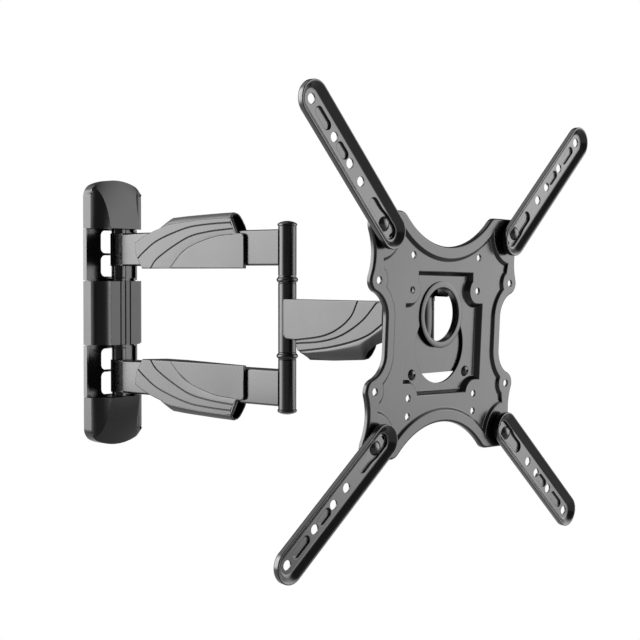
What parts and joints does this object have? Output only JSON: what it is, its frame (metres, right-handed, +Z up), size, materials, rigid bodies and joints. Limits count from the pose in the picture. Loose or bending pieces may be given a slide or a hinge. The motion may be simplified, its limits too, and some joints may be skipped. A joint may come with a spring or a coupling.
{
  "type": "full motion tv wall mount",
  "caption": "Full motion TV wall mount: wall plate with covers, hinged double arm, elbow, fore arm, swivel and tilt head, TV plate with fold-out extension arms.",
  "frame": {"origin": "centre of the wall plate's back face, on the wall plane", "axes": "+Y into the wall, -Y out into the room along the arms, +X right as seen from the room, +Z up"},
  "size_m": [0.4501, 0.5229, 0.4289],
  "materials": {
    "painted_steel": "satin graphite powder coat",
    "cover_plastic": "satin graphite moulded ABS",
    "black_plastic": "black moulded polypropylene",
    "nylon": "natural nylon",
    "black_screws": "black zinc plated steel",
    "zinc_steel": "bright zinc plated steel"
  },
  "bodies": {
    "wall_bracket": {"wall_plate": "painted_steel", "hinge_ears": "painted_steel", "hinge_pins": "zinc_steel", "hinge_pin_clips": "zinc_steel", "wall_cover_centre": "cover_plastic", "wall_cover_top": "cover_plastic", "wall_cover_bottom": "cover_plastic"},
    "double_arm": {"upper_hinge_tube": "painted_steel", "lower_hinge_tube": "painted_steel", "hinge_bushes": "nylon", "upper_bar": "painted_steel", "lower_bar": "painted_steel", "upper_column_tube": "painted_steel", "lower_column_tube": "painted_steel", "column_sleeves": "zinc_steel", "elbow_bolt": "zinc_steel", "elbow_nut": "zinc_steel", "column_cap_top": "black_plastic", "column_cap_bottom": "black_plastic", "upper_bar_cover": "cover_plastic", "lower_bar_cover": "cover_plastic"},
    "fore_arm": {"elbow_barrel": "painted_steel", "elbow_rings": "black_plastic", "elbow_bushes": "nylon", "fore_arm_beam": "painted_steel", "fore_arm_cover": "cover_plastic", "swivel_barrel": "painted_steel", "swivel_bushes": "nylon"},
    "swivel_head": {"swivel_yoke": "painted_steel", "swivel_bolt": "black_screws", "swivel_nut": "black_screws", "tilt_washers": "black_plastic", "tension_bolt": "black_screws", "tension_washers": "black_screws", "tension_nut": "black_screws"},
    "tilt_head": {"head_plate": "painted_steel", "head_collar": "painted_steel", "tilt_bolt": "black_screws", "tilt_nut": "black_screws", "lock_screws": "black_screws", "lock_nuts": "black_screws"},
    "tv_plate": {"tv_plate": "painted_steel", "pivot_screws": "black_screws", "pivot_nuts": "black_screws", "pivot_washers": "nylon"},
    "upper_left_arm": {"upper_left_arm": "painted_steel"},
    "upper_right_arm": {"upper_right_arm": "painted_steel"},
    "lower_left_arm": {"lower_left_arm": "painted_steel"},
    "lower_right_arm": {"lower_right_arm": "painted_steel"}
  },
  "joints": [
    {"name": "wall_hinge", "type": "hinge", "parent": "wall_bracket", "child": "double_arm", "pos_m": [0, -0.0185, 0], "axis": [0, 0, 1], "range_deg": [-91.76, 88.24]},
    {"name": "elbow", "type": "hinge", "parent": "double_arm", "child": "fore_arm", "pos_m": [0.00818, -0.28467, 0], "axis": [0, 0, -1], "range_deg": [-134.6, 125.39]},
    {"name": "swivel", "type": "hinge", "parent": "fore_arm", "child": "swivel_head", "pos_m": [-0.00083, -0.466, 0], "axis": [0, 0, 1], "range_deg": [-91.2, 88.8]},
    {"name": "tilt", "type": "hinge", "parent": "swivel_head", "child": "tilt_head", "pos_m": [-0.00083, -0.466, -0.036], "axis": [0.9996, -0.0287, 0], "range_deg": [-6.8, 13.2]},
    {"name": "level", "type": "hinge", "parent": "tilt_head", "child": "tv_plate", "pos_m": [-0.00177, -0.49859, 0.0081], "axis": [0.0287, 0.9991, 0.0314], "range_deg": [-2.6, 0.4]},
    {"name": "upper_left_pivot", "type": "hinge", "parent": "tv_plate", "child": "upper_left_arm", "pos_m": [-0.10022, -0.49838, 0.09146], "axis": [0.0287, 0.9991, 0.0314], "range_deg": [-44.5, 45.5]},
    {"name": "upper_right_pivot", "type": "hinge", "parent": "tv_plate", "child": "upper_right_arm", "pos_m": [0.09966, -0.504, 0.08762], "axis": [-0.0287, -0.9991, -0.0314], "range_deg": [-44.5, 45.5]},
    {"name": "lower_left_pivot", "type": "hinge", "parent": "tv_plate", "child": "lower_left_arm", "pos_m": [-0.10388, -0.49199, -0.1084], "axis": [-0.0287, -0.9991, -0.0314], "range_deg": [-39.5, 50.5]},
    {"name": "lower_right_pivot", "type": "hinge", "parent": "tv_plate", "child": "lower_right_arm", "pos_m": [0.09601, -0.49761, -0.11224], "axis": [0.0287, 0.9991, 0.0314], "range_deg": [-39.5, 50.5]}
  ]
}
